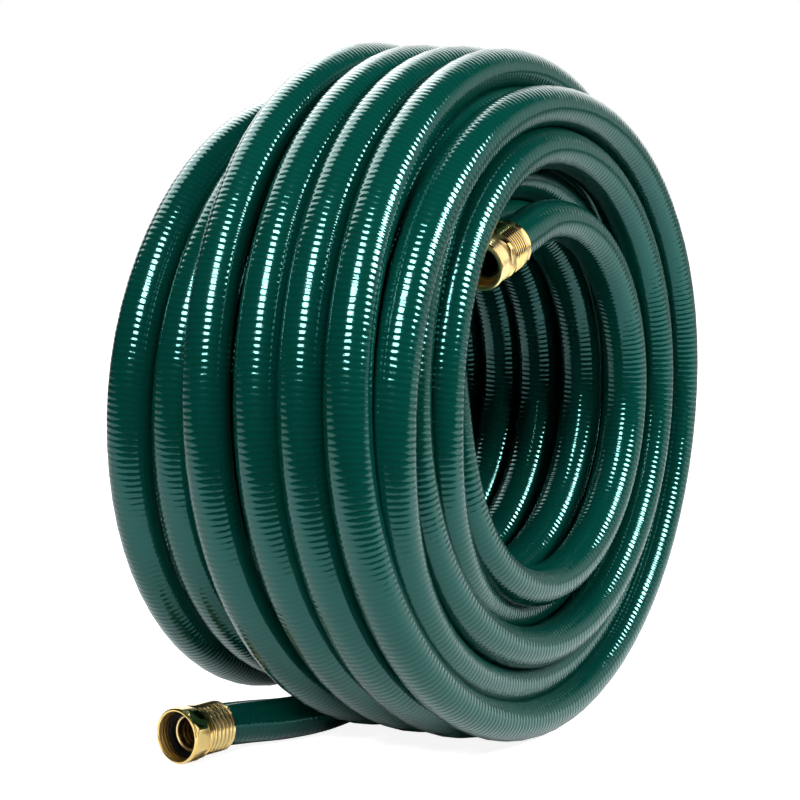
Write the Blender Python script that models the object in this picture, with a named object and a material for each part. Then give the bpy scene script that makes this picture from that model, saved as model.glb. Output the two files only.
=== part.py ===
"""Garden hose, coiled and standing on its turns, with a brass coupling on each end.

Metres, +Z up. The coil's axis runs along X and its open face looks to +X. The hose leaves the coil
at the bottom and lies on the floor towards -Y, where its female coupling is. The male coupling
is inside the coil's bore. The origin is on the floor, under the middle of the coil.
"""

import math

import bmesh
import bpy
from mathutils import Vector

# The hose
HOSE_DIAMETER = 0.0228
TURN_WIDTH = 0.0240             # a bent hose goes oval: wider along the coil's axis
TURN_HEIGHT = 0.0216            # and flatter towards the coil's centre
TURN_SPACE = 0.0020             # between two turns that lie side by side, which are wound loosely

# The coil
INNER_TURN_RADIUS = 0.0970      # centreline of the turns around the bore
LAYER_RISE = 0.0190             # each layer lies in the grooves of the one below
OUTER_LAYER = 4                 # the bore's layer is 0
BACK_LAYER = 3                  # the two last turns at the back lie a layer lower
FRONT_COLUMN = 3.0              # place of the front turns along the axis, in turn pitches
BACK_COLUMN = -3.0
GROOVE_ANGLE = math.radians(25.0)
ARC_STEP = math.radians(36.0)
COIL_STEPS = 40

# The couplings, for a 3/4 inch garden hose thread
THREAD_DIAMETER = 0.0270
THREAD_LENGTH = 0.0110
STEM_DIAMETER = 0.0162
STEM_WALL = 0.0012
STEM_INSET = 0.0060             # how far the hose reaches into its ferrule before the stem starts
FLANGE_DIAMETER = 0.0252
FLANGE_THICKNESS = 0.0016
FERRULE_DIAMETER = 0.0268
FERRULE_LENGTH = 0.0175
FERRULE_FRONT_WALL = 0.0015
FERRULE_GROOVES = 5
FERRULE_GROOVE_DEPTH = 0.0007
NUT_DIAMETER = 0.0292
NUT_LENGTH = 0.0145
NUT_NECK_DIAMETER = 0.0282
NUT_MOUTH_LENGTH = 0.0035
NUT_FLATS_LENGTH = 0.0070
NUT_FLATS = 8
NUT_BACK_WALL = 0.0020
WASHER_THICKNESS = 0.0030
WASHER_HOLE = 0.0165
COLLAR_DIAMETER = 0.0284        # across the corners of the male coupling's hexagon
COLLAR_LENGTH = 0.0045
COLLAR_FLATS = 6
COUPLING_STEPS = 24

CLEARANCE = 0.0003              # between pieces that meet or turn on each other

# Worked out from the sizes above
TURN_PITCH = TURN_WIDTH + TURN_SPACE
OUTER_TURN_RADIUS = INNER_TURN_RADIUS + OUTER_LAYER * LAYER_RISE
COIL_HEIGHT = (OUTER_TURN_RADIUS + TURN_HEIGHT / 2.0) * math.cos(math.pi / COIL_STEPS)
FRONT_PLACE = FRONT_COLUMN * TURN_PITCH
HOSE_RADIUS = HOSE_DIAMETER / 2.0
NUT_START = FERRULE_LENGTH + CLEARANCE

# Turns that show around the coil's section, as (column, layer), clockwise with the front to the right
TREAD_TURNS = (
    (BACK_COLUMN + 0.10, BACK_LAYER),
    (BACK_COLUMN + 1.19, BACK_LAYER),
    (BACK_COLUMN + 2.49, OUTER_LAYER),
    (BACK_COLUMN + 3.60, OUTER_LAYER),
    (BACK_COLUMN + 4.53, OUTER_LAYER),
    (BACK_COLUMN + 5.50, OUTER_LAYER),
)
FRONT_TURNS = (
    (FRONT_COLUMN, 3.40),
    (FRONT_COLUMN, 1.90),
    (FRONT_COLUMN - 0.9, 1.0),
)
BORE_TURNS = tuple((column, 0.0) for column in (2.0, 1.0, 0.0, -1.0, -2.0, -3.0))
BACK_TURNS = ((BACK_COLUMN - 0.1, 1.5),)
EDGE_TURN = 2                   # the turn of TREAD_TURNS that the free end lies beside
EDGE_GROOVE_DEPTH = 0.0057      # of the groove behind it, below the centreline of the outer turns

# The free end lies on the floor beside the edge turn, from where it clears the groove behind it
GROOVE_RADIUS = OUTER_TURN_RADIUS - EDGE_GROOVE_DEPTH
FREE_END_Y = -math.sqrt(GROOVE_RADIUS ** 2 - (COIL_HEIGHT - HOSE_DIAMETER - 2.0 * CLEARANCE) ** 2)
EDGE_RISE = COIL_HEIGHT - math.sqrt(OUTER_TURN_RADIUS ** 2 - FREE_END_Y ** 2) - HOSE_RADIUS
EDGE_SPREAD = math.sqrt(1.0 - (EDGE_RISE / (TURN_HEIGHT / 2.0 + HOSE_RADIUS)) ** 2)
EDGE_HALF_WIDTH = TURN_WIDTH / 2.0 * math.cos(ARC_STEP / 2.0)    # at the middle of a facet
FREE_END_X = (
    TREAD_TURNS[EDGE_TURN][0] * TURN_PITCH
    - (EDGE_HALF_WIDTH + HOSE_RADIUS) * EDGE_SPREAD - CLEARANCE
)
FREE_END_STEPS = 8
FEMALE_REAR = (-0.0535, -0.1148, 0.0141)
FEMALE_AXIS = (-0.130, -0.991, 0.030)

# The inner end: the front turn of the bore's layer, which rises into the male coupling
INNER_END_STOP = 285.0          # degrees clockwise from the top, as seen from the front
INNER_END_STEPS = 30
INNER_TURN_PLACE = FRONT_PLACE - TURN_PITCH + TURN_WIDTH / 2.0 + HOSE_RADIUS + CLEARANCE
MALE_ANGLE = -16.0              # where the turn ends and the hose runs straight to its coupling
MALE_STRAIGHT = 0.0180
MALE_REACH_IN = 0.0035          # how far the turn's end lies inside the turn
MALE_REACH_OUT = 0.0035         # how far it lies towards the front
MALE_AXIS = (0.02, -0.96, -0.28)
MALE_TURNS_AWAY = 45.0          # degrees over which the turn moves to its end

GREEN = (0.004, 0.085, 0.060, 1.0)
BRASS = (0.78, 0.52, 0.18, 1.0)
BLACK = (0.012, 0.012, 0.012, 1.0)


def clear_scene():
    """Remove what the file opened with."""
    for old in list(bpy.data.objects):
        bpy.data.objects.remove(old, do_unlink=True)


def material(name, colour, roughness, metallic):
    """A plain Principled material."""
    made = bpy.data.materials.new(name)
    made.use_nodes = True
    shader = made.node_tree.nodes["Principled BSDF"]
    shader.inputs["Base Color"].default_value = colour
    shader.inputs["Roughness"].default_value = roughness
    shader.inputs["Metallic"].default_value = metallic
    return made


def add_mesh(name, bm, finish, place=(0.0, 0.0, 0.0), axis=(1.0, 0.0, 0.0)):
    """Turn a bmesh into an object whose local X lies along the axis given."""
    bmesh.ops.recalc_face_normals(bm, faces=bm.faces[:])
    mesh = bpy.data.meshes.new(name)
    bm.to_mesh(mesh)
    bm.free()
    mesh.shade_smooth()
    mesh.set_sharp_from_angle(angle=math.radians(40.0))
    mesh.materials.append(finish)
    made = bpy.data.objects.new(name, mesh)
    made.location = place
    made.rotation_mode = "QUATERNION"
    made.rotation_quaternion = Vector((1.0, 0.0, 0.0)).rotation_difference(Vector(axis).normalized())
    bpy.context.collection.objects.link(made)
    return made


def turned(profile, steps):
    """Spin a closed outline of (place along X, radius) points once around X."""
    bm = bmesh.new()
    first_angle = math.pi / steps
    corners = [
        bm.verts.new((x, radius * math.sin(first_angle), -radius * math.cos(first_angle)))
        for x, radius in profile
    ]
    edges = [bm.edges.new((corners[i - 1], corners[i])) for i in range(len(corners))]
    bmesh.ops.spin(
        bm, geom=corners + edges, cent=(0.0, 0.0, 0.0), axis=(1.0, 0.0, 0.0),
        angle=math.tau, steps=steps, use_merge=True,
    )
    bmesh.ops.remove_doubles(bm, verts=bm.verts[:], dist=1e-6)
    return bm


def polygon_radius(angle, corner_radius, flats):
    """Radius of a regular polygon at an angle; flats of 0 gives a circle."""
    if not flats:
        return corner_radius
    half = math.pi / flats
    return corner_radius * math.cos(half) / math.cos(angle % (2.0 * half) - half)


def lofted(stations, steps):
    """Join rings into a closed tube wall; a station is (place along X, corner radius, flats)."""
    bm = bmesh.new()
    rings = []
    for x, corner_radius, flats in stations:
        ring = []
        for i in range(steps):
            angle = math.tau * i / steps
            radius = polygon_radius(angle, corner_radius, flats)
            ring.append(bm.verts.new((x, radius * math.sin(angle), radius * math.cos(angle))))
        rings.append(ring)
    for i, ring in enumerate(rings):
        last = rings[i - 1]
        for j in range(steps):
            bm.faces.new((last[j - 1], last[j], ring[j], ring[j - 1]))
    return bm


def turn_arc(previous, centre, following):
    """The outer arc of one turn, from its groove with the previous turn to that with the next."""

    def heading(other):
        step_x = (other[0] - centre[0]) * TURN_PITCH / TURN_WIDTH
        step_r = (other[1] - centre[1]) * LAYER_RISE / TURN_HEIGHT
        spread = max(GROOVE_ANGLE, math.acos(min(1.0, math.hypot(step_x, step_r))))
        return math.atan2(step_r, step_x), spread

    start, start_spread = heading(previous)
    end, end_spread = heading(following)
    start -= start_spread
    end += end_spread
    sweep = (start - end) % math.tau
    count = max(2, round(sweep / ARC_STEP))
    points = []
    for i in range(count + 1):
        angle = start - sweep * i / count
        x = centre[0] * TURN_PITCH + TURN_WIDTH / 2.0 * math.cos(angle)
        radius = INNER_TURN_RADIUS + centre[1] * LAYER_RISE + TURN_HEIGHT / 2.0 * math.sin(angle)
        points.append((x, radius))
    return points


def coil_section():
    """Outline of the wound ring: the turns that show, each as an arc, with grooves between them."""
    turns = TREAD_TURNS + FRONT_TURNS + BORE_TURNS + BACK_TURNS
    outline = []
    for i, centre in enumerate(turns):
        following = turns[(i + 1) % len(turns)]
        for point in turn_arc(turns[i - 1], centre, following):
            if not outline or math.dist(point, outline[-1]) > CLEARANCE:
                outline.append(point)
    if math.dist(outline[0], outline[-1]) <= CLEARANCE:
        outline.pop()
    return outline


def ring_point(x, radius, degrees):
    """A point of a turn; degrees run clockwise from the top, as seen from the front."""
    angle = math.radians(degrees)
    return Vector((x, radius * math.sin(angle), COIL_HEIGHT + radius * math.cos(angle)))


def smooth_step(value):
    """0 below 0, 1 above 1, and an even curve between."""
    held = min(1.0, max(0.0, value))
    return held * held * (3.0 - 2.0 * held)


def curved_route(start, start_heading, end, end_heading, steps):
    """Points along one cubic curve that leaves and arrives along the headings given."""
    reach = (end - start).length
    leaving = start_heading.normalized() * reach
    arriving = end_heading.normalized() * reach
    route = []
    for step in range(steps + 1):
        t = step / steps
        route.append(
            start * (2.0 * t ** 3 - 3.0 * t ** 2 + 1.0) + leaving * (t ** 3 - 2.0 * t ** 2 + t)
            + end * (3.0 * t ** 2 - 2.0 * t ** 3) + arriving * (t ** 3 - t ** 2)
        )
    return route


def into_ferrule(rear, axis):
    """The straight stretch of hose that a coupling is crimped on."""
    line = Vector(axis).normalized()
    start = Vector(rear)
    return [start - line * 0.004, start + line * (STEM_INSET - CLEARANCE)]


def hose_tube(name, route, finish):
    """A plain length of hose along a route."""
    curve = bpy.data.curves.new(name, "CURVE")
    curve.dimensions = "3D"
    curve.bevel_depth = HOSE_RADIUS
    curve.bevel_resolution = 4
    curve.use_fill_caps = True
    spline = curve.splines.new("POLY")
    spline.points.add(len(route) - 1)
    for point, place in zip(spline.points, route):
        point.co = (*place, 1.0)
    curve.materials.append(finish)
    made = bpy.data.objects.new(name, curve)
    bpy.context.collection.objects.link(made)
    return made


def free_end_route():
    """Along the floor from the coil's edge turn to the female coupling."""
    start = Vector((FREE_END_X, FREE_END_Y, HOSE_RADIUS))
    before_ferrule, inside_ferrule = into_ferrule(FEMALE_REAR, FEMALE_AXIS)
    towards_front = Vector((0.0, -1.0, 0.0))
    route = curved_route(start, towards_front, before_ferrule, Vector(FEMALE_AXIS), FREE_END_STEPS)
    return route + [inside_ferrule]


def inner_end_route():
    """The front turn around the bore, from the coil's near side up to the male coupling."""
    route = []
    for i in range(INNER_END_STEPS + 1):
        degrees = INNER_END_STOP + (MALE_ANGLE - INNER_END_STOP) * i / INNER_END_STEPS
        moved = smooth_step(1.0 - (degrees - MALE_ANGLE) / MALE_TURNS_AWAY)
        route.append(ring_point(
            INNER_TURN_PLACE + MALE_REACH_OUT * moved,
            INNER_TURN_RADIUS - MALE_REACH_IN * moved,
            degrees,
        ))
    return route + into_ferrule(male_rear(), MALE_AXIS)


def male_rear():
    """Where the hose enters the male coupling's ferrule."""
    turn_end = ring_point(
        INNER_TURN_PLACE + MALE_REACH_OUT, INNER_TURN_RADIUS - MALE_REACH_IN, MALE_ANGLE
    )
    return turn_end + Vector(MALE_AXIS).normalized() * MALE_STRAIGHT


def ferrule():
    """A sleeve crimped over the hose, with rolled grooves and a front wall around the stem."""
    outer = FERRULE_DIAMETER / 2.0
    bore = HOSE_RADIUS + CLEARANCE
    hole = STEM_DIAMETER / 2.0 + CLEARANCE
    pitch = FERRULE_LENGTH / (FERRULE_GROOVES + 1.5)
    profile = [(0.0, outer - FERRULE_GROOVE_DEPTH)]
    for i in range(FERRULE_GROOVES):
        start = pitch * (i + 0.35)
        profile += [(start, outer), (start + pitch * 0.55, outer)]
        profile += [(start + pitch * 0.75, outer - FERRULE_GROOVE_DEPTH)]
    profile += [(pitch * (FERRULE_GROOVES + 0.35), outer), (FERRULE_LENGTH - 0.0015, outer)]
    profile += [(FERRULE_LENGTH, outer - 0.0015), (FERRULE_LENGTH, hole)]
    profile += [(FERRULE_LENGTH - FERRULE_FRONT_WALL, hole)]
    profile += [(FERRULE_LENGTH - FERRULE_FRONT_WALL, bore), (0.0, bore)]
    return turned(profile, COUPLING_STEPS)


def female_stem():
    """The insert that the nut turns on: a tube with a flange inside the nut."""
    outer = STEM_DIAMETER / 2.0
    inner = outer - STEM_WALL
    flange_back = NUT_START + NUT_BACK_WALL + CLEARANCE
    flange_front = flange_back + FLANGE_THICKNESS
    profile = [
        (STEM_INSET, outer), (flange_back, outer), (flange_back, FLANGE_DIAMETER / 2.0),
        (flange_front, FLANGE_DIAMETER / 2.0), (flange_front, inner), (STEM_INSET, inner),
    ]
    return turned(profile, COUPLING_STEPS)


def washer():
    """The rubber ring against the flange."""
    back = NUT_START + NUT_BACK_WALL + FLANGE_THICKNESS + 2.0 * CLEARANCE
    outer = THREAD_DIAMETER / 2.0 - CLEARANCE
    profile = [
        (back, outer), (back + WASHER_THICKNESS, outer),
        (back + WASHER_THICKNESS, WASHER_HOLE / 2.0), (back, WASHER_HOLE / 2.0),
    ]
    return turned(profile, COUPLING_STEPS)


def nut():
    """The swivel nut: a round mouth, a band with flats, and a back wall behind the flange."""
    back = NUT_START
    front = back + NUT_LENGTH
    mouth = NUT_DIAMETER / 2.0
    neck = NUT_NECK_DIAMETER / 2.0
    thread = THREAD_DIAMETER / 2.0
    hole = STEM_DIAMETER / 2.0 + CLEARANCE
    band = back + NUT_BACK_WALL
    stations = [
        (back, neck - 0.001, 0), (band, mouth, NUT_FLATS), (band + NUT_FLATS_LENGTH, mouth, NUT_FLATS),
        (front - NUT_MOUTH_LENGTH, neck, 0), (front - NUT_MOUTH_LENGTH * 0.5, mouth, 0),
        (front, mouth, 0), (front, thread, 0), (band, thread, 0), (band, hole, 0), (back, hole, 0),
    ]
    return lofted(stations, COUPLING_STEPS)


def nipple():
    """The male coupling: insert, hexagon and threaded spigot in one piece."""
    stem = STEM_DIAMETER / 2.0
    bore = stem - STEM_WALL
    collar = FERRULE_LENGTH + CLEARANCE
    spigot = collar + COLLAR_LENGTH
    thread = THREAD_DIAMETER / 2.0
    stations = [
        (STEM_INSET, stem, 0), (collar, stem, 0), (collar, COLLAR_DIAMETER / 2.0, COLLAR_FLATS),
        (spigot, COLLAR_DIAMETER / 2.0, COLLAR_FLATS), (spigot, thread - 0.001, 0),
        (spigot + 0.002, thread, 0), (spigot + THREAD_LENGTH, thread, 0),
        (spigot + THREAD_LENGTH, bore + 0.002, 0), (collar, bore, 0), (STEM_INSET, bore, 0),
    ]
    return lofted(stations, COUPLING_STEPS)


def centre_along_axis(objects):
    """Slide everything along X until the middle of its box is over the origin."""
    bpy.context.view_layer.update()
    reach = []
    for made in objects:
        points = [Vector(corner) for corner in made.bound_box]
        if made.type == "MESH":
            points = [vertex.co for vertex in made.data.vertices]
        reach += [(made.matrix_world @ point).x for point in points]
    middle = (min(reach) + max(reach)) / 2.0
    for made in objects:
        made.location.x -= middle


def main():
    """Build the coil, its two free ends and the two couplings."""
    clear_scene()
    vinyl = material("green_vinyl", GREEN, 0.25, 0.0)
    brass = material("brass", BRASS, 0.22, 1.0)
    rubber = material("black_rubber", BLACK, 0.6, 0.0)

    made = [
        add_mesh("hose_coil", turned(coil_section(), COIL_STEPS), vinyl, (0.0, 0.0, COIL_HEIGHT)),
        hose_tube("hose_outer_end", free_end_route(), vinyl),
        hose_tube("hose_inner_end", inner_end_route(), vinyl),
        add_mesh("female_ferrule", ferrule(), brass, FEMALE_REAR, FEMALE_AXIS),
        add_mesh("female_stem", female_stem(), brass, FEMALE_REAR, FEMALE_AXIS),
        add_mesh("hose_washer", washer(), rubber, FEMALE_REAR, FEMALE_AXIS),
        add_mesh("swivel_nut", nut(), brass, FEMALE_REAR, FEMALE_AXIS),
        add_mesh("male_ferrule", ferrule(), brass, male_rear(), MALE_AXIS),
        add_mesh("male_nipple", nipple(), brass, male_rear(), MALE_AXIS),
    ]
    centre_along_axis(made)


main()
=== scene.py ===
"""Looks of a garden hose that stands coiled on its turns on a pale floor.

The hose is one tube, wound in five layers around an open bore. It starts in the male coupling
inside the bore, and its last turn runs out along the floor to the female coupling. Everything is in
metres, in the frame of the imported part: the coil's axis runs along X, its open face looks to +X and
+Z is up.
"""

from __future__ import annotations

import logging
import math
from bisect import bisect_right
from dataclasses import dataclass, field
from enum import Enum

import bpy
from mathutils import Matrix, Vector


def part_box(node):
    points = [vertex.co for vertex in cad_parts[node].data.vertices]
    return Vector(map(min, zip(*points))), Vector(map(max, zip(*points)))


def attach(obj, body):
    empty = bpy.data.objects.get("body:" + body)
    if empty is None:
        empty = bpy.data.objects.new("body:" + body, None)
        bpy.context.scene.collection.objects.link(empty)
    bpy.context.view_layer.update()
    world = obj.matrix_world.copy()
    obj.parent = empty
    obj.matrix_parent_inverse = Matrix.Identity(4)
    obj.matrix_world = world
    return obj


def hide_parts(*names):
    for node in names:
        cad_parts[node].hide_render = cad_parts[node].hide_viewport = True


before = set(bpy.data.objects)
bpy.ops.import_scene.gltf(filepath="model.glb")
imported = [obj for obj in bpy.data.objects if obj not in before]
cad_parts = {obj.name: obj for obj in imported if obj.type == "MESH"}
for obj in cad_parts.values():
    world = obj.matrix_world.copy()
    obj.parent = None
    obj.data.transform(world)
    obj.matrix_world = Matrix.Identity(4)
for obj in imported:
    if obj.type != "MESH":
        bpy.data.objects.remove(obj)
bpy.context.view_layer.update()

LOG = logging.getLogger("garden_hose")

HOSE_DIAMETER = 0.0228
TURN_WIDTH = 0.0240
TURN_HEIGHT = 0.0220
RIB_PITCH = 0.0031

FERRULE_LENGTH = 0.0175
FERRULE_RADIUS = 0.0134
NUT_LENGTH = 0.0145
NUT_RADIUS = 0.0146
THREAD_RADIUS = 0.0135
THREAD_PITCH = 0.0022
STEM_RADIUS = 0.0081
STEM_WALL = 0.0012
STEM_REAR = 0.0062
CLEARANCE = 0.0003


class Body(Enum):
    """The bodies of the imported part."""

    HOSE = "hose"
    SWIVEL_NUT = "swivel_nut"


class Slot(Enum):
    """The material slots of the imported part."""

    VINYL = "green_vinyl"
    BRASS = "brass"
    RUBBER = "black_rubber"


class Subject(Enum):
    """What a lamp is screened off to light."""

    VINYL = "lit_vinyl"
    COUPLINGS = "lit_couplings"


def ring_centre() -> Vector:
    """Find the point on the coil's axis in the plane of its front turns.

    Returns:
        The point.
    """
    low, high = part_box("hose_coil")
    return Vector((high[0] - TURN_WIDTH / 2.0, 0.0, (low[2] + high[2]) / 2.0))


class Wire:
    """A shader socket that is worked with in Python expressions."""

    def __init__(self, graph: "Graph", socket: bpy.types.NodeSocket) -> None:
        """Keep the socket and the graph it belongs to.

        Args:
            graph: The graph that new nodes are added to.
            socket: An output socket of one of its nodes.
        """
        self.graph = graph
        self.socket = socket

    def _math(self, operation: str, *values: "Wire | float") -> "Wire":
        """Add a Math node.

        Args:
            operation: The node's operation.
            values: The numbers or wires on its inputs.

        Returns:
            The node's result.
        """
        return self.graph.node("ShaderNodeMath", {"operation": operation}, dict(enumerate(values)))

    def __add__(self, other: "Wire | float") -> "Wire":
        """The sum."""
        return self._math("ADD", self, other)

    __radd__ = __add__

    def __sub__(self, other: "Wire | float") -> "Wire":
        """The difference."""
        return self._math("SUBTRACT", self, other)

    def __rsub__(self, other: "Wire | float") -> "Wire":
        """The difference, the other way round."""
        return self._math("SUBTRACT", other, self)

    def __mul__(self, other: "Wire | float") -> "Wire":
        """The product."""
        return self._math("MULTIPLY", self, other)

    __rmul__ = __mul__

    def __pow__(self, other: "Wire | float") -> "Wire":
        """The power."""
        return self._math("POWER", self, other)

    def sine(self) -> "Wire":
        """The sine of an angle in radians."""
        return self._math("SINE", self)

    def clamped(self) -> "Wire":
        """The value, held between 0 and 1."""
        return self._math("MINIMUM", self._math("MAXIMUM", self, 0.0), 1.0)


class Graph:
    """The node tree of one material or of the world."""

    def __init__(self, tree: bpy.types.NodeTree) -> None:
        """Start an empty tree.

        Args:
            tree: The tree to fill.
        """
        self.tree = tree
        tree.nodes.clear()

    def add(
        self, kind: str, settings: dict | None = None, inputs: dict | None = None
    ) -> bpy.types.Node:
        """Add a node.

        Args:
            kind: The node's type.
            settings: Its properties.
            inputs: Values or wires for its inputs, by name or number.

        Returns:
            The node.
        """
        made = self.tree.nodes.new(kind)
        for name, value in (settings or {}).items():
            setattr(made, name, value)
        for name, value in (inputs or {}).items():
            self.feed(made.inputs[name], value)
        return made

    def node(
        self, kind: str, settings: dict | None = None, inputs: dict | None = None,
        output: int | str = 0,
    ) -> Wire:
        """Add a node and take one of its outputs.

        Args:
            kind: The node's type.
            settings: Its properties.
            inputs: Values or wires for its inputs, by name or number.
            output: The output that is wanted.

        Returns:
            The wire from that output.
        """
        return Wire(self, self.add(kind, settings, inputs).outputs[output])

    def feed(self, socket: bpy.types.NodeSocket, value: "Wire | float | tuple") -> None:
        """Link a wire to an input, or set its value.

        Args:
            socket: The input.
            value: A wire, an output socket, or the value.
        """
        if isinstance(value, Wire):
            value = value.socket
        if isinstance(value, bpy.types.NodeSocket):
            self.tree.links.new(value, socket)
        else:
            socket.default_value = value

    def noise(self, place: Wire, scale: float, detail: float = 2.0) -> Wire:
        """Soft noise between 0 and 1 at a place."""
        inputs = {"Vector": place, "Scale": scale, "Detail": detail}
        return self.node("ShaderNodeTexNoise", {}, inputs, "Fac")

    def blend(self, share: Wire | float, first: tuple | Wire, second: tuple | Wire) -> Wire:
        """Mix two colours by a share."""
        inputs: dict = {0: share, 6: first, 7: second}
        return self.node("ShaderNodeMix", {"data_type": "RGBA"}, inputs, 2)

    def vector(self, operation: str, first: Wire, second: Vector | None = None) -> Wire:
        """Add a Vector Math node.

        Args:
            operation: The node's operation.
            first: The vector it works on.
            second: The fixed vector that it works with, where it needs one.

        Returns:
            The node's result: a number for a length or a dot product, and otherwise a vector.
        """
        inputs: dict = {0: first} if second is None else {0: first, 1: tuple(second)}
        output = "Value" if operation in ("DOT_PRODUCT", "LENGTH") else "Vector"
        return self.node("ShaderNodeVectorMath", {"operation": operation}, inputs, output)

    def bump(
        self, height: Wire, distance: float, strength: float = 1.0, normal: Wire | None = None
    ) -> Wire:
        """Turn a height into a normal.

        Args:
            height: The height.
            distance: How high a height of 1 is, in metres.
            strength: The share of it that shows.
            normal: The normal it is added to, where that isn't the surface's own.

        Returns:
            The normal.
        """
        inputs: dict = {"Height": height, "Distance": distance, "Strength": strength}
        if normal is not None:
            inputs["Normal"] = normal
        return self.node("ShaderNodeBump", {}, inputs)

    def surface(self, inputs: dict) -> None:
        """End the tree in a Principled shader."""
        shader = self.node("ShaderNodeBsdfPrincipled", {}, inputs)
        self.add("ShaderNodeOutputMaterial", {}, {"Surface": shader})


@dataclass(frozen=True)
class RibbedVinyl:
    """Glossy vinyl with fine ribs across the hose, which break its highlights into rows of dots."""

    colour: tuple = (0.0003, 0.0195, 0.0147, 1.0)
    # Darker colour for the rib troughs, which is painted shade, and for the random darker tone of the
    # cloud noise.
    rib_shade_and_tone_colour: tuple = (0.0002, 0.0144, 0.0105, 1.0)
    roughness: float = 0.09
    refraction: float = 1.52
    gloss_tint: tuple = (0.38, 1.0, 0.95, 1.0)
    rib_height: float = 0.00013
    rib_waver: float = 2.2
    skin_height: float = 0.00002

    def material(self, name: str) -> bpy.types.Material:
        """Make the material.

        Args:
            name: Its name.

        Returns:
            The material, which reads the tube's own UV map: metres along, and turns around.
        """
        made = bpy.data.materials.new(name)
        made.use_nodes = True
        graph = Graph(made.node_tree)
        run = graph.node("ShaderNodeUVMap", {"uv_map": HoseTube.UV_NAME}, {}, "UV")
        along = graph.node("ShaderNodeSeparateXYZ", {}, {"Vector": run}, "X")
        around = graph.node("ShaderNodeSeparateXYZ", {}, {"Vector": run}, "Y")
        place = graph.node("ShaderNodeTexCoord", {}, {}, "Object")
        waver = graph.noise(place, 160.0, 3.0) * self.rib_waver
        ribs = (along * (math.tau / RIB_PITCH) + waver + around * math.tau).sine() * 0.5 + 0.5
        ribs = ribs * (graph.noise(place, 260.0) * 1.3 + 0.35)
        cloud = graph.noise(place, 14.0, 3.0)
        skin = graph.noise(place, 900.0, 2.0)
        normal = graph.bump(ribs, self.rib_height)
        normal = graph.bump(skin, self.skin_height, 0.5, normal)
        graph.surface({
            # Base colour: painted shade in the rib troughs, mixed with a real random tone from the
            # cloud noise.
            "Base Color": graph.blend(ribs * 0.55 + cloud * 0.45, self.rib_shade_and_tone_colour, self.colour),
            "Roughness": cloud * 0.08 + self.roughness,
            "IOR": self.refraction,
            "Specular Tint": self.gloss_tint,
            "Normal": normal,
        })
        return made


@dataclass(frozen=True)
class Beading:
    """Rolled beads on a ferrule.

    Attributes:
        count: How many there are.
        first: Where they start along the axis.
        last: Where they end.
        depth: How deep the grooves between them are.
        sharpness: How narrow the grooves are.
    """

    count: int
    first: float
    last: float
    depth: float
    sharpness: float

    @property
    def pitch(self) -> float:
        """Length of one bead."""
        return (self.last - self.first) / self.count


@dataclass(frozen=True)
class PolishedBrass:
    """Brass turned on a lathe: polished, with faint turning lines and tarnish, painted shade in its
    bore and bead grooves, and painted light as a paler colour nearer the axis than its thread.
    """

    colour: tuple = (0.88, 0.61, 0.23, 1.0)
    tarnish: tuple = (0.70, 0.44, 0.15, 1.0)
    # Painted shade for the grooves between the beads.
    groove_shade_colour: tuple = (0.11, 0.065, 0.018, 1.0)
    # Paler colour for surfaces nearer the axis than the thread: painted light.
    painted_light_colour: tuple = (0.90, 0.72, 0.38, 1.0)
    # Painted shade for the bore.
    bore_shade_colour: tuple = (0.07, 0.040, 0.016, 1.0)
    roughness: float = 0.13
    line_pitch: float = 0.00035
    line_height: float = 0.000005
    edge_steepness: float = 4000.0

    def material(
        self, name: str, rear: Vector, axis: Vector, beads: Beading
    ) -> bpy.types.Material:
        """Make the material for the pieces of one coupling.

        Args:
            name: Its name.
            rear: The coupling's rear centre, from where its turning lines are measured.
            axis: The coupling's axis.
            beads: The beads of its ferrule, whose grooves get a painted shade.

        Returns:
            The material, which reads Object coordinates.
        """
        made = bpy.data.materials.new(name)
        made.use_nodes = True
        graph = Graph(made.node_tree)
        place = graph.node("ShaderNodeTexCoord", {}, {}, "Object")
        offset = graph.vector("SUBTRACT", place, rear)
        along = graph.vector("DOT_PRODUCT", offset, axis)
        radius = graph.vector("LENGTH", graph.vector("CROSS_PRODUCT", offset, axis))
        patches = graph.noise(place, 60.0, 3.0)
        lines = (along * (math.tau / self.line_pitch) + patches * 4.0).sine() * 0.5 + 0.5
        stain = ((patches - 0.5) * 3.0).clamped()
        wave = ((along - beads.first) * (math.pi / beads.pitch) + math.pi / 2.0).sine()
        margin = 0.0003
        after_first = ((along - beads.first + margin) * 5000.0).clamped()
        before_last = ((beads.last + margin - along) * 5000.0).clamped()
        # Dark bands in the bead grooves: painted shade.
        painted_groove_shade = (wave * wave) ** beads.sharpness * (after_first * before_last)
        # Darker colour inside the stem's bore: painted shade.
        inside = ((STEM_RADIUS + margin - radius) * self.edge_steepness).clamped()
        # Surfaces nearer the axis than the thread get a paler colour, which is painted light, and
        # more roughness.
        painted_light_within_thread = ((THREAD_RADIUS - margin - radius) * self.edge_steepness).clamped()
        tarnish_and_painted_shading = graph.blend(stain * 0.6, self.colour, self.tarnish)
        tarnish_and_painted_shading = graph.blend(painted_light_within_thread * 0.6, tarnish_and_painted_shading, self.painted_light_colour)
        tarnish_and_painted_shading = graph.blend(painted_groove_shade * 0.85, tarnish_and_painted_shading, self.groove_shade_colour)
        graph.surface({
            "Base Color": graph.blend(inside * 0.9, tarnish_and_painted_shading, self.bore_shade_colour),
            "Metallic": 1.0,
            "Roughness": stain * 0.10 + painted_light_within_thread * 0.16 + self.roughness,
            "Normal": graph.bump(lines, self.line_height, 0.6),
        })
        return made


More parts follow.
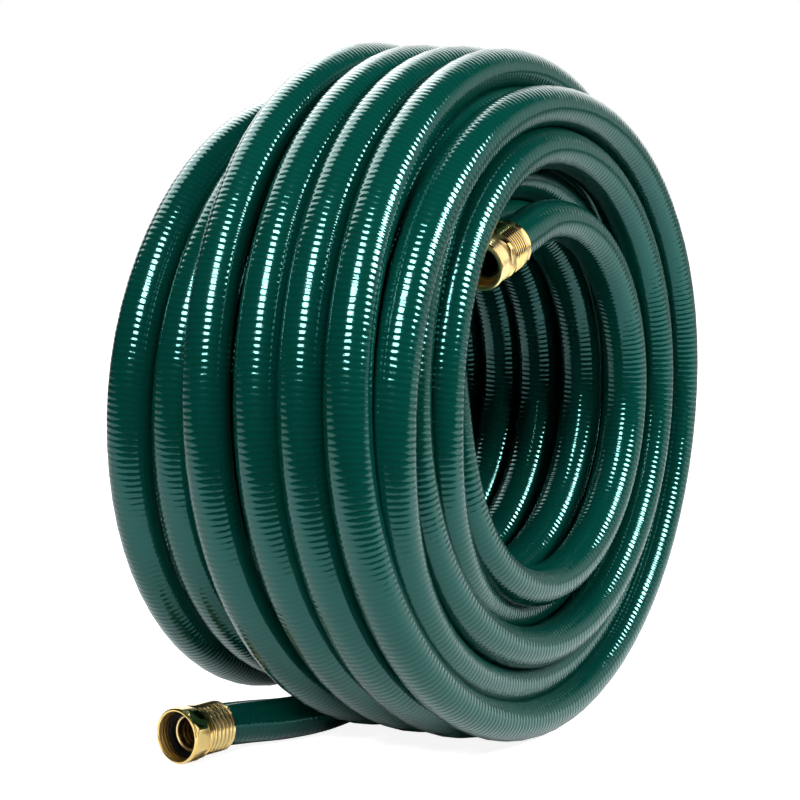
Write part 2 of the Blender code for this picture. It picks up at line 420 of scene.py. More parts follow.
@dataclass(frozen=True)
class BlackRubber:
    """Matt black rubber with a fine grain."""

    colour: tuple = (0.002, 0.002, 0.0025, 1.0)
    worn_colour: tuple = (0.004, 0.004, 0.005, 1.0)
    roughness: float = 0.55
    refraction: float = 1.25
    grain_height: float = 0.00003

    def material(self, name: str) -> bpy.types.Material:
        """Make the material.

        Args:
            name: Its name.

        Returns:
            The material.
        """
        made = bpy.data.materials.new(name)
        made.use_nodes = True
        graph = Graph(made.node_tree)
        place = graph.node("ShaderNodeTexCoord", {}, {}, "Object")
        grain = graph.noise(place, 2500.0, 3.0)
        graph.surface({
            "Base Color": graph.blend(grain, self.colour, self.worn_colour),
            "Roughness": grain * 0.2 + self.roughness,
            "IOR": self.refraction,
            "Normal": graph.bump(grain, self.grain_height, 0.5),
        })
        return made


@dataclass(frozen=True)
class Pin:
    """A place that the winding goes through.

    Attributes:
        turns: Turns from the coil's top, clockwise as seen from the front.
        forward: Distance in front of the plane of the front turns.
        radius: Distance from the coil's axis.
    """

    turns: float
    forward: float
    radius: float


@dataclass
class Winding:
    """The hose's centreline, from the male coupling through all five layers to the female one."""

    inner_radius: float = 0.0975
    layer_rise: float = 0.0190
    male_angle: float = -16.0
    centre: Vector = field(default_factory=ring_centre)
    male_rear: Vector = field(default_factory=lambda: Vector((0.078957, -0.043049, 0.268072)))
    male_axis: Vector = field(default_factory=lambda: Vector((0.02, -0.96, -0.28)).normalized())
    female_rear: Vector = field(default_factory=lambda: Vector((-0.054103, -0.1148, 0.0141)))
    female_axis: Vector = field(
        default_factory=lambda: Vector((-0.130, -0.991, 0.030)).normalized()
    )
    steps_per_turn: int = 72
    straight_step: float = 0.003
    start_in_ferrule: float = 0.0050

    @property
    def floor_radius(self) -> float:
        """Radius of a turn that just touches the floor."""
        return self.centre.z - TURN_HEIGHT / 2.0

    def bore_pins(self) -> list[Pin]:
        """Lay the turns around the bore, from front to back: each steps back where it is hidden.

        Returns:
            Their pins.
        """
        pins = [
            Pin(self.male_angle / 360.0, 0.0016, 0.0935),
            Pin(0.0, 0.0005, 0.0948), Pin(0.25, 0.0010, 0.0979), Pin(0.50, 0.0024, 0.0991),
            Pin(0.67, 0.0000, 0.0965), Pin(0.75, -0.0045, 0.0938), Pin(0.83, -0.0140, 0.0945),
            Pin(0.92, -0.0245, 0.0955),
        ]
        columns = [-0.0264, -0.0540, -0.0775, -0.1035, -0.1295, -0.1555]
        for turn, column in enumerate(columns, start=1):
            for quarter, radius in ((0.0, 0.0958), (0.25, 0.0975), (0.55, 0.0978)):
                pins.append(Pin(turn + quarter, column, radius))
        return pins

    def second_layer_pins(self) -> list[Pin]:
        """Lay the second layer, back to front: it comes out as the bore's second front ring.

        Returns:
            Its pins.
        """
        radius = self.inner_radius + self.layer_rise
        pins = [Pin(7.0, -0.1520, 0.1100)]
        for step in range(6):
            pins.append(Pin(7.25 + step, -0.1440 + 0.0255 * step, radius))
        return pins + [
            Pin(12.50, -0.0125, 0.1145), Pin(12.67, -0.0010, 0.1145), Pin(12.75, 0.0024, 0.1137),
            Pin(13.00, -0.0011, 0.1329), Pin(13.25, 0.0013, 0.1333), Pin(13.50, 0.0037, 0.1315),
            Pin(13.67, -0.0010, 0.1330), Pin(13.75, -0.0030, 0.1349), Pin(14.00, -0.0180, 0.1380),
        ]

    def third_layer_pins(self) -> list[Pin]:
        """The third layer, front to back, all of it hidden."""
        radius = self.inner_radius + 2.0 * self.layer_rise
        return [Pin(14.25 + step, -0.0240 - 0.0290 * step, radius) for step in range(5)]

    def fourth_layer_pins(self) -> list[Pin]:
        """Lay the fourth layer, back to front: its first two turns show behind the outer ones.

        Returns:
            Its pins, of which the last are on the rim of the open face.
        """
        radius = self.inner_radius + 3.0 * self.layer_rise
        pins = [
            Pin(18.50, -0.1615, 0.1625), Pin(18.60, -0.1590, 0.1610), Pin(18.75, -0.1534, 0.1585),
            Pin(19.00, -0.1449, 0.1527), Pin(19.25, -0.1390, 0.1535), Pin(19.50, -0.1335, 0.1543),
            Pin(19.75, -0.1250, 0.1583), Pin(20.00, -0.1165, 0.1534), Pin(20.25, -0.1120, 0.1540),
        ]
        for step, forward in enumerate((-0.1005, -0.0765, -0.0500, -0.0240)):
            pins.append(Pin(20.75 + step, forward, radius))
        return pins + [
            Pin(24.50, -0.0050, 0.1513), Pin(24.67, -0.0030, 0.1545), Pin(24.75, 0.0005, 0.1556),
            Pin(25.00, -0.0013, 0.1544), Pin(25.25, 0.0000, 0.1706),
        ]

    def outer_layer_pins(self) -> list[Pin]:
        """Lay the outer layer, front to back: each turn steps back on the near side only.

        Returns:
            Its pins, of which those at half a turn touch the floor.
        """
        floor = self.floor_radius
        return [
            Pin(25.50, 0.0013, 0.1702), Pin(25.60, -0.0030, 0.1707), Pin(25.75, -0.0129, 0.1729),
            Pin(26.00, -0.0251, 0.1737), Pin(26.25, -0.0255, 0.1730), Pin(26.50, -0.0259, floor),
            Pin(26.75, -0.0381, 0.1745), Pin(27.00, -0.0502, 0.1752), Pin(27.25, -0.0500, 0.1740),
            Pin(27.50, -0.0498, floor), Pin(27.75, -0.0620, 0.1767), Pin(28.00, -0.0741, 0.1760),
            Pin(28.25, -0.0765, 0.1740), Pin(28.50, -0.0790, floor), Pin(28.63, -0.0862, 0.1752),
            Pin(28.75, -0.0912, 0.1784), Pin(29.00, -0.1034, 0.1775), Pin(29.25, -0.1060, 0.1745),
            Pin(29.50, -0.1060, floor),
        ]

    def pins(self) -> list[Pin]:
        """All the pins in order."""
        inner = self.bore_pins() + self.second_layer_pins() + self.third_layer_pins()
        return inner + self.fourth_layer_pins() + self.outer_layer_pins()

    @staticmethod
    def _slopes(places: list[float], values: list[float]) -> list[float]:
        """Find slopes for a curve that goes through values without overshooting them.

        Args:
            places: Where the values are.
            values: The values.

        Returns:
            The curve's slope at each value.
        """
        rises = [
            (values[i + 1] - values[i]) / (places[i + 1] - places[i])
            for i in range(len(places) - 1)
        ]
        slopes = [rises[0]]
        for before, after in zip(rises, rises[1:]):
            flat = before * after <= 0.0
            slopes.append(0.0 if flat else 2.0 * before * after / (before + after))
        return slopes + [rises[-1]]

    def _through(
        self, places: list[float], values: list[float], steps: list[float]
    ) -> list[float]:
        """Read a smooth curve that goes through values.

        Args:
            places: Where the values are.
            values: The values.
            steps: Where the curve is read.

        Returns:
            The curve's value at each step.
        """
        slopes = self._slopes(places, values)
        result = []
        for step in steps:
            i = min(max(bisect_right(places, step) - 1, 0), len(places) - 2)
            span = places[i + 1] - places[i]
            t = (step - places[i]) / span
            result.append(
                values[i] * (2.0 * t ** 3 - 3.0 * t ** 2 + 1.0)
                + slopes[i] * span * (t ** 3 - 2.0 * t ** 2 + t)
                + values[i + 1] * (3.0 * t ** 2 - 2.0 * t ** 3)
                + slopes[i + 1] * span * (t ** 3 - t ** 2)
            )
        return result

    def turned_points(self) -> list[Vector]:
        """Follow the turns, from the end of the male coupling's straight to the floor.

        Returns:
            Points along the centreline.
        """
        pins = self.pins()
        places = [pin.turns for pin in pins]
        last = pins[-1].turns - 0.03
        count = round((last - places[0]) * self.steps_per_turn)
        steps = [places[0] + (last - places[0]) * i / count for i in range(count + 1)]
        forwards = self._through(places, [pin.forward for pin in pins], steps)
        radii = self._through(places, [pin.radius for pin in pins], steps)
        return [
            self.centre + Vector((
                forward, radius * math.sin(math.tau * step), radius * math.cos(math.tau * step)
            ))
            for step, forward, radius in zip(steps, forwards, radii)
        ]

    def floor_points(self, start: Vector, before: Vector) -> list[Vector]:
        """Follow the floor, from the last turn to the inside of the female ferrule.

        Args:
            start: The last point of the turns.
            before: The point before it.

        Returns:
            Points along the centreline, without the start.
        """
        height = HOSE_DIAMETER / 2.0
        front = self.centre.x
        bends = [
            start,
            Vector((front - 0.1055, -0.0060, height)),
            Vector((front - 0.1050, -0.0340, height)),
            Vector((front - 0.1070, -0.0580, height)),
            Vector((front - 0.1145, -0.0790, height + 0.0004)),
            Vector((front - 0.1242, -0.0970, height + 0.0015)),
            self.female_rear - self.female_axis * 0.0010,
            self.female_rear + self.female_axis * self.start_in_ferrule,
        ]
        ends = [before] + bends + [bends[-1] + self.female_axis * 0.010]
        points = []
        for i in range(1, len(ends) - 2):
            a, b, c, d = ends[i - 1:i + 3]
            count = max(3, round((c - b).length / self.straight_step))
            for step in range(1, count + 1):
                t = step / count
                points.append(0.5 * (
                    2.0 * b + (c - a) * t + (2.0 * a - 5.0 * b + 4.0 * c - d) * t ** 2
                    + (3.0 * b - a - 3.0 * c + d) * t ** 3
                ))
        return points

    def points(self) -> list[Vector]:
        """The whole centreline.

        Returns:
            Points from inside the male ferrule to inside the female one.
        """
        turned = self.turned_points()
        straight = (turned[0] - self.male_rear).length
        start = self.male_rear + self.male_axis * self.start_in_ferrule
        count = round(straight / self.straight_step)
        lead = [start] + [self.male_rear.lerp(turned[0], i / count) for i in range(count)]
        return lead + turned + self.floor_points(turned[-1], turned[-2])

    def outward(self, point: Vector) -> Vector:
        """Find the direction that the tube is flattened along.

        Args:
            point: A point of the centreline.

        Returns:
            Away from the coil's axis, or down on the free end.
        """
        if point.z < HOSE_DIAMETER and point.y < 0.0 and point.x < self.centre.x - 0.1:
            return Vector((0.0, 0.0, -1.0))
        return Vector((0.0, point.y, point.z - self.centre.z)).normalized()


@dataclass
class HoseTube:
    """The hose's skin around its centreline."""

    UV_NAME = "hose_run"

    winding: Winding
    sides: int = 24
    rounding: float = 0.060

    def section(self, along: float, total: float) -> tuple[float, float]:
        """Size the tube, which is oval in its turns and round at its ends.

        Args:
            along: Distance from its start.
            total: Its length.

        Returns:
            Its half width and its half height there.
        """
        share = min(1.0, min(along, total - along) / self.rounding)
        eased = share * share * (3.0 - 2.0 * share)
        natural = HOSE_DIAMETER / 2.0
        return (
            natural + (TURN_WIDTH / 2.0 - natural) * eased,
            natural + (TURN_HEIGHT / 2.0 - natural) * eased,
        )

    def build(self, finish: bpy.types.Material) -> tuple[bpy.types.Object, float]:
        """Make the tube.

        Args:
            finish: The vinyl.

        Returns:
            The tube and the length of its centreline.
        """
        points = self.winding.points()
        distances = [0.0]
        for a, b in zip(points, points[1:]):
            distances.append(distances[-1] + (b - a).length)
        total = distances[-1]
        verts: list[Vector] = []
        for i, point in enumerate(points):
            tangent = (points[min(i + 1, len(points) - 1)] - points[max(i - 1, 0)]).normalized()
            outward = self.winding.outward(point)
            outward = (outward - tangent * outward.dot(tangent)).normalized()
            sideways = outward.cross(tangent)
            half_width, half_height = self.section(distances[i], total)
            for j in range(self.sides):
                angle = math.tau * j / self.sides
                across = sideways * (half_width * math.cos(angle))
                verts.append(point + across + outward * (half_height * math.sin(angle)))
        faces = []
        corners = []
        for i in range(len(points) - 1):
            for j in range(self.sides):
                k = (j + 1) % self.sides
                a, b = i * self.sides, (i + 1) * self.sides
                faces.append((a + j, a + k, b + k, b + j))
                low, high = j / self.sides, (j + 1) / self.sides
                corners += [
                    (distances[i], low), (distances[i], high),
                    (distances[i + 1], high), (distances[i + 1], low),
                ]
        last = (len(points) - 1) * self.sides
        faces.append(tuple(range(self.sides - 1, -1, -1)))
        faces.append(tuple(range(last, last + self.sides)))
        corners += [(0.0, 0.0)] * self.sides + [(total, 0.0)] * self.sides
        mesh = bpy.data.meshes.new("hose")
        mesh.from_pydata(verts, [], faces)
        layer = mesh.uv_layers.new(name=self.UV_NAME)
        layer.data.foreach_set("uv", [value for corner in corners for value in corner])
        mesh.shade_smooth()
        mesh.materials.append(finish)
        made = bpy.data.objects.new("hose", mesh)
        bpy.context.collection.objects.link(made)
        return made, total


def deselect_everything() -> None:
    """Leave no object selected or active."""
    bpy.ops.object.select_all(action="DESELECT")
    bpy.context.view_layer.objects.active = None


def select_only(piece: bpy.types.Object) -> None:
    """Select one object and make it active.

    Args:
        piece: The object.
    """
    deselect_everything()
    piece.select_set(True)
    bpy.context.view_layer.objects.active = piece


@dataclass
class Turning:
    """A piece turned on a lathe: a circle that is extruded and resized, ring after ring."""

    name: str
    rear: Vector
    axis: Vector
    steps: int = 96

    def turn(self, outline: list[tuple[float, float]]) -> bpy.types.Object:
        """Follow a closed outline.

        Args:
            outline: (distance along, radius) of each ring, which ends where it starts.

        Returns:
            The turned piece, still around +Z at the origin.
        """
        deselect_everything()
        along, radius = outline[0]
        bpy.ops.mesh.primitive_circle_add(
            vertices=self.steps, radius=radius, fill_type="NOTHING", location=(0.0, 0.0, 0.0)
        )
        made = bpy.context.object
        made.name = made.data.name = self.name
        bpy.ops.object.mode_set(mode="EDIT")
        bpy.ops.mesh.select_all(action="SELECT")
        bpy.ops.transform.translate(value=(0.0, 0.0, along))
        for next_along, next_radius in outline[1:]:
            bpy.ops.mesh.extrude_region_move(
                TRANSFORM_OT_translate={"value": (0.0, 0.0, next_along - along)}
            )
            scale = next_radius / radius
            bpy.ops.transform.resize(
                value=(scale, scale, 1.0), center_override=(0.0, 0.0, next_along)
            )
            along, radius = next_along, next_radius
        bpy.ops.mesh.select_all(action="SELECT")
        bpy.ops.mesh.remove_doubles(threshold=1e-6)
        bpy.ops.mesh.normals_make_consistent(inside=False)
        bpy.ops.object.mode_set(mode="OBJECT")
        # That can leave a ring-shaped shell inside out, so the sign of its volume decides.
        volume = sum(face.center.dot(face.normal) * face.area for face in made.data.polygons)
        if volume < 0.0:
            bpy.ops.object.mode_set(mode="EDIT")
            bpy.ops.mesh.flip_normals()
            bpy.ops.object.mode_set(mode="OBJECT")
        return made

    def place(self, made: bpy.types.Object) -> bpy.types.Object:
        """Move a piece from +Z to its coupling, with its place in its mesh.

        Args:
            made: The piece.

        Returns:
            The same piece, with its sharp edges marked.
        """
        turned = self.axis.to_track_quat("Z", "Y").to_matrix().to_4x4()
        made.matrix_world = Matrix.Translation(self.rear) @ turned
        select_only(made)
        bpy.ops.object.transform_apply(location=True, rotation=True, scale=True)
        bpy.ops.object.shade_smooth_by_angle(angle=math.radians(32.0))
        return made

    def round_edges(self, made: bpy.types.Object, width: float) -> None:
        """Round the sharp edges of a piece.

        Args:
            made: The piece.
            width: How wide the rounding is.
        """
        select_only(made)
        bevel = made.modifiers.new("rounded", "BEVEL")
        bevel.width = width
        bevel.segments = 2
        bevel.limit_method = "ANGLE"
        bevel.angle_limit = math.radians(34.0)
        bpy.ops.object.modifier_apply(modifier=bevel.name)

    def cut_flats(
        self, made: bpy.types.Object, flats: int, half_width: float, low: float, high: float
    ) -> None:
        """Plane flats on a band, as a spanner takes it.

        Args:
            made: The turned piece.
            flats: How many flats it gets.
            half_width: Distance of each flat from the axis.
            low: Where the band starts.
            high: Where the band ends.
        """
        deep = 0.004
        away = half_width + deep / 2.0
        for flat in range(flats):
            angle = math.tau * flat / flats
            deselect_everything()
            bpy.ops.mesh.primitive_cube_add(
                size=1.0, rotation=(0.0, 0.0, angle),
                location=(away * math.cos(angle), away * math.sin(angle), (low + high) / 2.0),
            )
            plane = bpy.context.object
            bpy.ops.transform.resize(
                value=(deep, half_width * 1.4, high - low), orient_type="LOCAL",
            )
            bpy.ops.object.transform_apply(location=True, rotation=True, scale=True)
            select_only(made)
            cut = made.modifiers.new("flat", "BOOLEAN")
            cut.operation = "DIFFERENCE"
            cut.solver = "EXACT"
            cut.object = plane
            bpy.ops.object.modifier_apply(modifier=cut.name)
            select_only(plane)
            bpy.ops.object.delete()


@dataclass
class Coupling:
    """What the two brass couplings share."""

    rear: Vector
    axis: Vector
    brass: bpy.types.Material
    prefix: str
    beads: Beading

    def finish_piece(
        self, made: bpy.types.Object, finish: bpy.types.Material, slot: Slot, body: Body,
        *nodes: str,
    ) -> bpy.types.Object:
        """Dress a piece and let it stand for its solids.

        Args:
            made: The piece.
            finish: Its material.
            slot: The material slot that names its finish; not used.
            body: The body it rides on.
            nodes: The solids it stands for.

        Returns:
            The same piece.
        """
        made.data.materials.clear()
        made.data.materials.append(finish)
        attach(made, body.value)
        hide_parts(*nodes)
        LOG.info("%s rides on %s", made.name, body.value)
        return made

    def ferrule(self) -> bpy.types.Object:
        """Make the sleeve that is crimped on the hose, with rolled beads and a drawn-in rear edge.

        Returns:
            The ferrule.
        """
        style = self.beads
        outer = FERRULE_RADIUS
        inner = HOSE_DIAMETER / 2.0 + 0.0001
        outline = [
            (0.0, inner), (-0.0002, inner + 0.0006), (0.0, outer - 0.0012),
            (0.0005, outer - 0.0005), (0.0012, outer - 0.0001),
        ]
        steps = 12
        for bead in range(style.count):
            for step in range(steps):
                share = step / steps
                hollow = style.depth * abs(math.cos(math.pi * share)) ** style.sharpness
                outline.append((style.first + style.pitch * (bead + share), outer - hollow))
        hole = STEM_RADIUS + 0.0001
        wall = FERRULE_LENGTH - 0.0015
        outline += [
            (style.last, outer - style.depth), (style.last + 0.0006, outer - 0.0002),
            (FERRULE_LENGTH - 0.0006, outer - 0.0001), (FERRULE_LENGTH, outer - 0.0007),
            (FERRULE_LENGTH, hole), (wall, hole), (wall, inner), (0.0, inner),
        ]
        lathe = Turning(f"{self.prefix}_ferrule_shell", self.rear, self.axis)
        made = lathe.place(lathe.turn(outline))
        return self.finish_piece(
            made, self.brass, Slot.BRASS, Body.HOSE, f"{self.prefix}_ferrule"
        )


@dataclass
class FemaleCoupling(Coupling):
    """Ferrule, stem, washer and swivel nut on the hose's outer end."""

    rubber: bpy.types.Material | None = None
    flange_depth: float = 0.0016
    wall_depth: float = 0.0020

    @property
    def nut_back(self) -> float:
        """Where the nut starts along the axis."""
        return FERRULE_LENGTH + CLEARANCE

    def stem(self) -> bpy.types.Object:
        """Make the insert, with a flange inside the nut and a bore with rolled rings.

        Returns:
            The stem.
        """
        low = self.nut_back + self.wall_depth + CLEARANCE
        high = low + self.flange_depth
        outer, inner = STEM_RADIUS, STEM_RADIUS - STEM_WALL
        outline = [
            (STEM_REAR, outer), (low, outer), (low, 0.0124), (low + 0.0003, 0.0126),
            (high - 0.0003, 0.0126), (high, 0.0123), (high, 0.0098), (high + 0.0007, 0.0096),
            (high + 0.0009, 0.0091), (high + 0.0006, 0.0085), (high - 0.0004, 0.0081),
            (high - 0.0016, 0.0078),
        ]
        steps = 5 * 6
        top = high - 0.0022
        depth = top - 0.0066
        ring = 0.0004
        for step in range(steps):
            outline.append((
                top - depth * step / steps,
                inner + ring + ring * math.cos(math.pi * step / 3.0),
            ))
        outline += [(STEM_REAR, inner), (STEM_REAR, outer)]
        lathe = Turning("female_stem_insert", self.rear, self.axis)
        return self.finish_piece(
            lathe.place(lathe.turn(outline)), self.brass, Slot.BRASS, Body.HOSE, "female_stem"
        )

    def washer(self) -> bpy.types.Object:
        """Make the rubber ring that the other coupling presses on.

        Returns:
            The washer.
        """
        back = self.nut_back + self.wall_depth + self.flange_depth + 2.0 * CLEARANCE
        front = back + 0.0030
        outer, inner = THREAD_RADIUS - 0.0004, 0.0101
        outline = [
            (back, inner), (back, outer), (front - 0.0007, outer),
            (front - 0.0001, outer - 0.0007), (front, outer - 0.0014), (front, inner + 0.0012),
            (front - 0.0002, inner + 0.0005), (front - 0.0009, inner), (back, inner),
        ]
        lathe = Turning("washer_ring", self.rear, self.axis)
        made = lathe.place(lathe.turn(outline))
        return self.finish_piece(
            made, self.rubber, Slot.RUBBER, Body.SWIVEL_NUT, "hose_washer"
        )

    def nut(self) -> bpy.types.Object:
        """Make the swivel nut: a round lip, a band with eight flats, a neck and a thread inside.

        Returns:
            The nut.
        """
        back = self.nut_back
        front = back + NUT_LENGTH
        band_low, band_high = back + 0.0036, back + 0.0124
        thread, hole = THREAD_RADIUS - 0.0004, STEM_RADIUS + 0.0003
        lip = 0.0013
        outline = [
            (back, hole), (back, 0.0122), (back + 0.0002, 0.0131), (back + 0.0007, 0.0138),
            (back + 0.0014, 0.0141), (back + 0.0021, 0.0140), (back + 0.0025, 0.0136),
            (back + 0.0030, 0.0136), (band_low, 0.0139), (band_low + 0.0010, NUT_RADIUS),
            (band_high - 0.0012, NUT_RADIUS), (band_high, 0.0137),
        ]
        steps = 8
        for step in range(steps + 1):
            turn = math.pi * step / steps
            outline.append((
                front - lip + lip * math.sin(turn),
                NUT_RADIUS - lip * (1.0 - math.cos(turn)) * 0.75,
            ))
        thread_start = front - lip - 0.0010
        for ridge in range(3):
            base = thread_start - ridge * THREAD_PITCH
            crest = thread - 0.0004
            outline += [
                (base, thread), (base - 0.0008, crest), (base - 0.0012, crest),
                (base - 0.0018, thread),
            ]
        wall = back + self.wall_depth
        outline += [(wall, thread), (wall, hole), (back, hole)]
        lathe = Turning("nut_shell", self.rear, self.axis, steps=128)
        made = lathe.turn(outline)
        lathe.cut_flats(made, 8, NUT_RADIUS * 0.940, band_low - 0.0004, band_high + 0.0001)
        lathe.round_edges(made, 0.00018)
        return self.finish_piece(
            lathe.place(made), self.brass, Slot.BRASS, Body.SWIVEL_NUT, "swivel_nut"
        )

    def build(self) -> list[bpy.types.Object]:
        """Make all the pieces of the coupling."""
        return [self.ferrule(), self.stem(), self.washer(), self.nut()]


@dataclass
class MaleCoupling(Coupling):
    """Ferrule and threaded spigot on the hose's inner end."""

    def spigot(self) -> bpy.types.Object:
        """Make the hexagon and the threaded spigot, with its lip and open bore.

        Returns:
            The spigot.
        """
        collar = FERRULE_LENGTH + CLEARANCE
        start = collar + 0.0045
        end = start + 0.0110
        thread = THREAD_RADIUS
        bore = STEM_RADIUS - STEM_WALL
        outline = [
            (STEM_REAR, STEM_RADIUS), (collar, STEM_RADIUS), (collar, 0.0132),
            (collar + 0.0004, 0.0140), (start - 0.0004, 0.0140), (start, 0.0132),
            (start + 0.0003, thread - 0.0014), (start + 0.0014, thread - 0.0013),
        ]
        for ridge in range(3):
            low = start + 0.0016 + ridge * THREAD_PITCH
            outline += [
                (low, thread - 0.0012), (low + 0.0007, thread - 0.0007),
                (low + 0.0013, thread - 0.0007), (low + 0.0020, thread - 0.0012),
            ]
        outline += [
            (end - 0.0020, thread - 0.0011), (end - 0.0017, thread - 0.0004),
            (end - 0.0011, thread - 0.0002), (end - 0.0005, thread - 0.0004),
            (end, thread - 0.0010), (end, bore + 0.0040), (end - 0.0010, bore + 0.0035),
            (end - 0.0036, bore + 0.0034), (end - 0.0040, bore + 0.0028),
            (end - 0.0070, bore + 0.0027), (end - 0.0080, bore), (STEM_REAR, bore),
            (STEM_REAR, STEM_RADIUS),
        ]
        lathe = Turning("male_spigot", self.rear, self.axis)
        made = lathe.turn(outline)
        lathe.cut_flats(made, 6, 0.0129, collar - 0.0001, start + 0.0001)
        lathe.round_edges(made, 0.00015)
        return self.finish_piece(
            lathe.place(made), self.brass, Slot.BRASS, Body.HOSE, "male_nipple"
        )

    def build(self) -> list[bpy.types.Object]:
        """Make all the pieces of the coupling."""
        return [self.ferrule(), self.spigot()]


@dataclass(frozen=True)
class SoftBox:
    """One rectangular studio lamp.

    Attributes:
        name: Its name.
        azimuth: Degrees to the right of the camera, seen from the coil.
        elevation: Degrees above the coil.
        distance: How far it is from the coil.
        size: Its width and height.
        radiance: How bright its face is, where a white page in daylight is 1.
        subject: What it lights.
    """

    name: str
    azimuth: float
    elevation: float
    distance: float
    size: tuple
    radiance: float
    subject: Subject

    def hang(self, studio: "Studio") -> None:
        """Put the lamp in the scene.

        Args:
            studio: The studio it hangs in.
        """
        data = bpy.data.lights.new(self.name, "AREA")
        data.shape = "RECTANGLE"
        data.size, data.size_y = self.size
        data.energy = self.radiance * 4.0 * self.size[0] * self.size[1]
        lamp = bpy.data.objects.new(self.name, data)
        toward = studio.direction(self.azimuth, self.elevation)
        lamp.location = studio.middle + toward * self.distance
        lamp.rotation_mode = "QUATERNION"
        lamp.rotation_quaternion = (-toward).to_track_quat("-Z", "Y")
        lamp.visible_camera = False
        lamp.light_linking.receiver_collection = studio.subjects[self.subject]
        bpy.context.collection.objects.link(lamp)


@dataclass(frozen=True)
class Glow:
    """A soft bright part of the room.

    Attributes:
        azimuth: Degrees to the right of the camera, seen from the coil.
        elevation: Degrees above the floor.
        full: Degrees from its middle to where it starts to fade.
        gone: Degrees from its middle to where it ends.
        radiance: Its brightness.
    """

    azimuth: float
    elevation: float
    full: float
    gone: float
    radiance: float


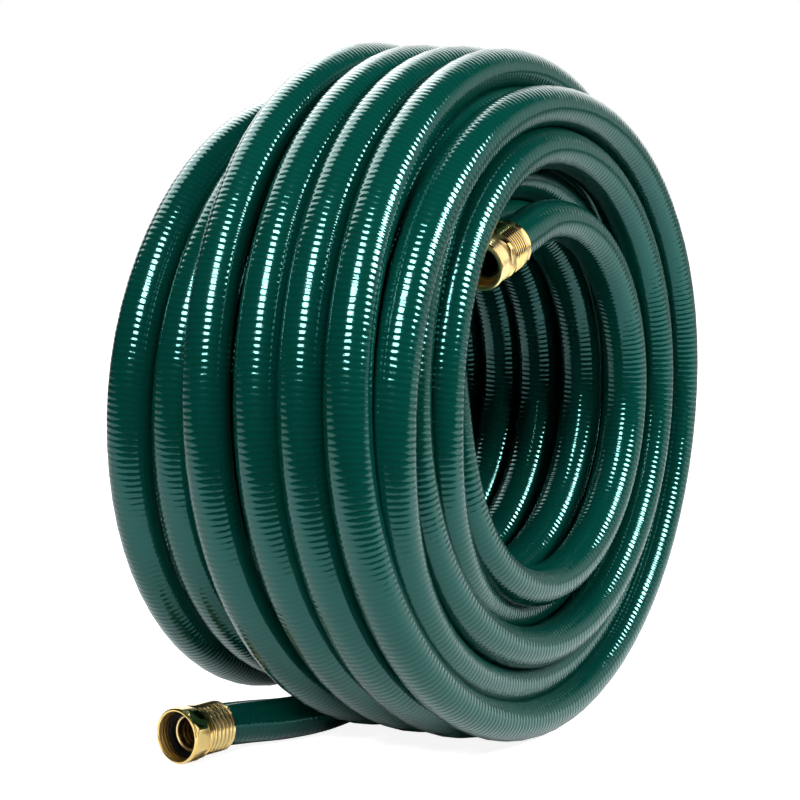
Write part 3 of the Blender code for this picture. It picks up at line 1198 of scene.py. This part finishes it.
@dataclass
class Studio:
    """Pale floor, pale surroundings, soft lamps and the camera."""

    azimuth: float = 31.17
    elevation: float = 7.54
    lens: float = 104.8
    camera_place: tuple = (0.5685, -1.0872, 0.1618)
    middle: Vector = field(default_factory=lambda: Vector((0.0, 0.0, 0.17)))
    floor_size: float = 12.0
    lamps: tuple = (
        SoftBox("front_softbox", -18.0, 37.0, 1.6, (0.54, 0.66), 44.0, Subject.VINYL),
        SoftBox("right_softbox", 66.0, 31.0, 1.6, (0.70, 0.50), 44.0, Subject.VINYL),
        SoftBox("back_softbox", 215.0, 48.0, 1.6, (1.50, 1.10), 3.6, Subject.VINYL),
        SoftBox("side_screen", 72.0, 24.0, 1.6, (2.6, 1.9), 1.15, Subject.COUPLINGS),
        SoftBox("mouth_screen", -30.0, 12.0, 1.6, (0.9, 0.9), 1.7, Subject.COUPLINGS),
    )
    glows: tuple = (
        Glow(180.0, 14.0, 26.0, 40.0, 1.80),
        Glow(108.0, 0.0, 16.0, 36.0, 0.90),
    )
    room_light: float = 0.01
    subjects: dict[Subject, bpy.types.Collection] = field(default_factory=lambda: {
        subject: bpy.data.collections.new(subject.value) for subject in Subject
    })

    def direction(self, azimuth: float, elevation: float) -> Vector:
        """Find a direction from the coil.

        Args:
            azimuth: Degrees to the right of the camera.
            elevation: Degrees above the floor.

        Returns:
            The direction, of length 1.
        """
        turn = math.radians(self.azimuth - 90.0 + azimuth)
        rise = math.radians(elevation)
        level = math.cos(rise)
        return Vector((math.cos(turn) * level, math.sin(turn) * level, math.sin(rise)))

    def add_camera(self) -> None:
        """Put up the camera, at the photograph's viewing angle."""
        data = bpy.data.cameras.new("camera")
        data.lens = self.lens
        data.sensor_width = 36.0
        camera = bpy.data.objects.new("camera", data)
        camera.location = ring_centre() + Vector(self.camera_place)
        camera.rotation_euler = (
            math.radians(90.0 - self.elevation), 0.0, math.radians(self.azimuth)
        )
        bpy.context.collection.objects.link(camera)
        bpy.context.scene.camera = camera

    def add_floor(self) -> None:
        """Lay a plain white board, which shines less on the coil far in front of it."""
        deselect_everything()
        bpy.ops.mesh.primitive_plane_add(size=self.floor_size, location=(0.0, 0.0, 0.0))
        floor = bpy.context.object
        floor.name = floor.data.name = "floor"
        made = bpy.data.materials.new("floor_white")
        made.use_nodes = True
        graph = Graph(made.node_tree)
        place = graph.node("ShaderNodeTexCoord", {}, {}, "Object")
        ahead = graph.vector("DOT_PRODUCT", place, self.direction(0.0, 0.0))
        near = ((0.42 - ahead) * 10.0).clamped()
        shine = graph.add("ShaderNodeBsdfDiffuse", {}, {
            "Color": graph.blend(near, (0.01, 0.01, 0.01, 1.0), (0.49, 0.52, 0.52, 1.0)),
        })
        page = graph.add("ShaderNodeBsdfDiffuse", {}, {"Color": (0.50, 0.50, 0.50, 1.0)})
        away = graph.vector("LENGTH", place)
        light = graph.add("ShaderNodeEmission", {}, {
            "Color": (1.0, 1.0, 1.0, 1.0),
            "Strength": ((away - 0.25) * 5.0).clamped() * 0.15 + 0.90,
        })
        lit_page = graph.node(
            "ShaderNodeAddShader", {}, {0: page.outputs[0], 1: light.outputs[0]}
        )
        first = graph.node("ShaderNodeLightPath", {}, {}, "Is Camera Ray")
        mixed = graph.node(
            "ShaderNodeMixShader", {}, {0: first, 1: shine.outputs[0], 2: lit_page}
        )
        graph.add("ShaderNodeOutputMaterial", {}, {"Surface": mixed})
        floor.data.materials.append(made)
        self.subjects[Subject.VINYL].objects.link(floor)

    def add_world(self) -> None:
        """Set a white page behind the coil, and a dim room with soft pale walls for its gloss."""
        world = bpy.data.worlds.new("studio")
        world.use_nodes = True
        bpy.context.scene.world = world
        graph = Graph(world.node_tree)
        toward = graph.node("ShaderNodeTexCoord", {}, {}, "Generated")
        light: Wire | float = self.room_light
        for glow in self.glows:
            middle = self.direction(glow.azimuth, glow.elevation)
            nearness = graph.vector("DOT_PRODUCT", toward, middle)
            inner, outer = math.cos(math.radians(glow.full)), math.cos(math.radians(glow.gone))
            share = ((nearness - outer) * (1.0 / (inner - outer))).clamped()
            light = share * glow.radiance + light
        white = (1.0, 1.0, 1.0, 1.0)
        room = graph.node("ShaderNodeBackground", {}, {"Color": white, "Strength": light})
        page = graph.node("ShaderNodeBackground", {}, {"Color": white, "Strength": 1.0})
        first = graph.node("ShaderNodeLightPath", {}, {}, "Is Camera Ray")
        mixed = graph.node("ShaderNodeMixShader", {}, {0: first, 1: room, 2: page})
        graph.add("ShaderNodeOutputWorld", {}, {"Surface": mixed})

    def light(self, subject: Subject, *pieces: bpy.types.Object) -> None:
        """Let the lamps of a subject light some pieces.

        Args:
            subject: The subject.
            pieces: The pieces.
        """
        for piece in pieces:
            self.subjects[subject].objects.link(piece)

    def build(self) -> None:
        """Set up the studio."""
        bpy.context.scene.view_settings.view_transform = "Standard"
        bpy.context.scene.view_settings.look = "None"
        self.add_camera()
        self.add_floor()
        self.add_world()
        for lamp in self.lamps:
            lamp.hang(self)
            LOG.info("%s hangs at %.0f degrees", lamp.name, lamp.azimuth)


def main() -> None:
    """Build the studio, the hose and its couplings."""
    logging.basicConfig(level=logging.INFO, format="%(message)s")
    studio = Studio()
    studio.build()
    winding = Winding()
    rubber = BlackRubber().material("rubber_finish")
    broad = Beading(5, 0.0024, FERRULE_LENGTH - 0.0006, 0.0010, 2.4)
    female = FemaleCoupling(
        winding.female_rear, winding.female_axis,
        PolishedBrass().material("brass_female", winding.female_rear, winding.female_axis, broad),
        "female", broad, rubber,
    )
    fine = Beading(6, 0.0050, FERRULE_LENGTH - 0.0010, 0.0006, 2.6)
    male = MaleCoupling(
        winding.male_rear, winding.male_axis,
        PolishedBrass().material("brass_male", winding.male_rear, winding.male_axis, fine),
        "male", fine,
    )
    pieces = female.build() + male.build()
    hose, length = HoseTube(winding).build(RibbedVinyl().material("vinyl_finish"))
    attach(hose, Body.HOSE.value)
    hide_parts("hose_coil", "hose_inner_end", "hose_outer_end")
    [tuple(point) for point in winding.points()]
    studio.light(Subject.VINYL, hose)
    studio.light(Subject.COUPLINGS, *pieces)
    LOG.info("hose centreline %.2f m", length)


if __name__ == "__main__":
    main()
